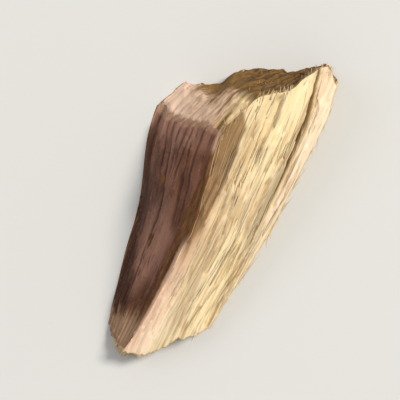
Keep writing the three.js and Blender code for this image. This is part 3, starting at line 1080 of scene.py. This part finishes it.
def rubbed_colour(root):
    """Where the cork is rubbed off: brown, and paler at the tip, along the ridge near it and at the break."""
    ridge = root.up.step(2.28, 2.40) * (1 - root.along).step(-2.9, -2.1)
    return root.layers(
        colour(92, 56, 26),
        (colour(134, 92, 52), root.streaks.step(0.38, 0.66)),
        (colour(182, 146, 116), (1 - root.along).step(-0.6, 0.4) * 0.8),
        (colour(176, 138, 112), root.along.step(6.0, 6.3) * 0.8),
        (colour(230, 190, 158), ridge * 0.9),
    )


def cork_colour(root):
    """Purplish brown cork: darker at the tip, paler where weathered. Painted shade darkens it at the foot and
    in its furrows, painted light makes it lighter and warmer by the ridge, and a painted highlight pales it
    where raised.
    """
    # Painted shade, darker towards the bark's foot over the thin half of the chip
    foot = (1 - root.up).step(-0.6, 0.6) * (1 - root.along).step(-5.5, -2.5)
    # Painted light, lighter and warmer up towards the ridge
    top = root.up.step(1.0, 2.0) * root.along.step(1.0, 2.0)
    orange_spot = (1 - abs(root.along - 3.9) * 1.1).step(0.0, 0.8) * root.up.step(1.5, 2.2)
    worn_end = 1 - root.along.step(5.4, 6.6) * 0.5
    return root.layers(
        colour(99, 64, 48),
        (colour(146, 100, 81), root.mottle.step(0.36, 0.66)),
        (colour(58, 38, 32), foot * 0.7),
        (colour(128, 80, 56), top * 0.5),
        (colour(72, 38, 14), (1 - root.along).step(-2.3, -1.3) * 0.45),
        (colour(86, 44, 10), orange_spot * 0.65),
        (colour(162, 118, 98), root.tone.step(0.0, 1.0) * 0.75),
        # Painted highlight on raised bark
        (colour(150, 112, 92), root.high.step(0.25, 0.7) * 0.5),
        (colour(160, 124, 102), root.scurf.step(0.56, 0.76) * 0.5),
        (colour(64, 40, 30), root.wrinkles.step(0.54, 0.72) * 0.4),
        # Painted shade in the furrows, weaker towards the thick end
        (colour(60, 37, 28), (1 - root.high).step(1.35, 2.0) * 0.62 * worn_end),
    )


SPECULAR, BUMP_STRENGTH, BUMP_DEPTH = 0.2, 0.4, 0.04 * MILLIMETRE


def root_material():
    root = RootFinish("dried_licorice_root")
    flesh = root.layers(
        inner_bark_colour(root),
        (wood_colour(root), (root.depth + root.streaks * 0.2).step(0.35, 0.70)),
        (strip_colour(root), root.strip * 0.9),
        (end_colour(root), root.cut_end * 0.96),
    )
    bark = root.layers(rubbed_colour(root), (cork_colour(root), root.cork))
    under_skin = (root.depth + root.scurf * 0.06).step(0.08, 0.13)
    root.plug("Base Color", root.layers(bark, (flesh, under_skin)))
    root.plug("Roughness", (0.62 + 0.2 * root.streaks).limit())
    root.shader.inputs["Specular IOR Level"].default_value = SPECULAR
    grain_height = root.streaks * 0.5 + root.hairlines * 0.5
    bark_height = root.scurf * 1.2 - root.wrinkles * 2.2
    height = grain_height * under_skin + bark_height * (1 - under_skin)
    inputs = {"Height": height, "Strength": BUMP_STRENGTH, "Distance": BUMP_DEPTH}
    root.plug("Normal", root.node("ShaderNodeBump", {}, inputs))
    return root.material


def fibre_material():
    wood = Finish("wood_fibre")
    place = wood.node("ShaderNodeTexCoord", {}, {}, "Object")
    mottle = wood.clouds(place, 900.0, 2.0)
    shade = wood.layers(
        colour(150, 118, 74),
        (colour(240, 222, 184), wood.attribute("tone")),
        (colour(178, 140, 90), mottle.step(0.55, 0.75) * 0.5),
    )
    wood.plug("Base Color", shade)
    wood.plug("Roughness", 0.6 + 0.2 * mottle)
    return wood.material


# Stage, lights and camera, in metres

FLOOR_SIZE, FLOOR_COLOUR, FLOOR_ROUGHNESS = 0.5, (206, 204, 199), 0.85

# The camera looks straight down, and the chip's grain leans to the right in the picture
GRAIN_LEAN = math.radians(25)
PICTURE_RIGHT = Vector((math.sin(GRAIN_LEAN), -math.cos(GRAIN_LEAN), 0))
PICTURE_UP = Vector((math.cos(GRAIN_LEAN), math.sin(GRAIN_LEAN), 0))
PICTURE_WIDTH, LENS, NEAREST, FURTHEST = 0.0112, 200, 0.002, 1.0

# Lights: how far right and up in the picture, and above the floor, their size, power and colour
LIGHTS = {
    "key": (0.30, 0.15, 0.36, 0.15, 2.4, (1.0, 0.98, 0.94)),
    "fill": (-0.36, 0.18, 0.42, 0.36, 0.45, (0.94, 0.96, 1.0)),
}
SKY_COLOUR, SKY_STRENGTH = (0.95, 0.97, 1.0, 1.0), 0.5


def floor_material():
    floor = Finish("pale_floor")
    floor.shader.inputs["Base Color"].default_value = colour(*FLOOR_COLOUR)
    floor.shader.inputs["Roughness"].default_value = FLOOR_ROUGHNESS
    return floor.material


def make_stage():
    bm = bmesh.new()
    bmesh.ops.create_grid(bm, x_segments=1, y_segments=1, size=FLOOR_SIZE / 2)
    mesh = bpy.data.meshes.new("floor")
    bm.to_mesh(mesh)
    bm.free()
    mesh.materials.append(floor_material())
    floor = bpy.data.objects.new("floor", mesh)
    bpy.context.collection.objects.link(floor)


def aim(thing, place, target, up):
    """Puts a camera or light at a place, looking at a target with a direction upwards."""
    back = (Vector(place) - Vector(target)).normalized()
    right = Vector(up).cross(back).normalized()
    turn = Matrix((right, back.cross(right), back)).transposed().to_4x4()
    thing.matrix_world = Matrix.Translation(place) @ turn


def make_light(name, right, up, height, size, power, tone):
    data = bpy.data.lights.new(name, "AREA")
    data.shape, data.size, data.energy, data.color = "DISK", size, power, tone
    light = bpy.data.objects.new(name, data)
    bpy.context.collection.objects.link(light)
    place = PICTURE_RIGHT * right + PICTURE_UP * up + Vector((0, 0, height))
    aim(light, place, (0, 0, 0), PICTURE_UP)


def make_lights():
    for name, sizes in LIGHTS.items():
        make_light(name, *sizes)
    world = bpy.data.worlds.new("studio")
    world.use_nodes = True
    background = world.node_tree.nodes["Background"]
    background.inputs["Color"].default_value = SKY_COLOUR
    background.inputs["Strength"].default_value = SKY_STRENGTH
    bpy.context.scene.world = world


def make_camera():
    data = bpy.data.cameras.new("camera")
    data.lens, data.clip_start, data.clip_end = LENS, NEAREST, FURTHEST
    camera = bpy.data.objects.new("camera", data)
    bpy.context.collection.objects.link(camera)
    distance = PICTURE_WIDTH * data.lens / data.sensor_width
    low, high = solid_box
    target = (low + high) / 2
    aim(camera, target + Vector((0, 0, distance)), target, PICTURE_UP)
    bpy.context.scene.camera = camera
    bpy.context.scene.view_settings.view_transform = "Standard"


chip = finish_mesh(chip_mesh(), "root_chip", root_material())
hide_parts(CHIP)
finish_mesh(fibre_mesh(), "loose_fibres", fibre_material())
make_stage()
make_lights()
make_camera()
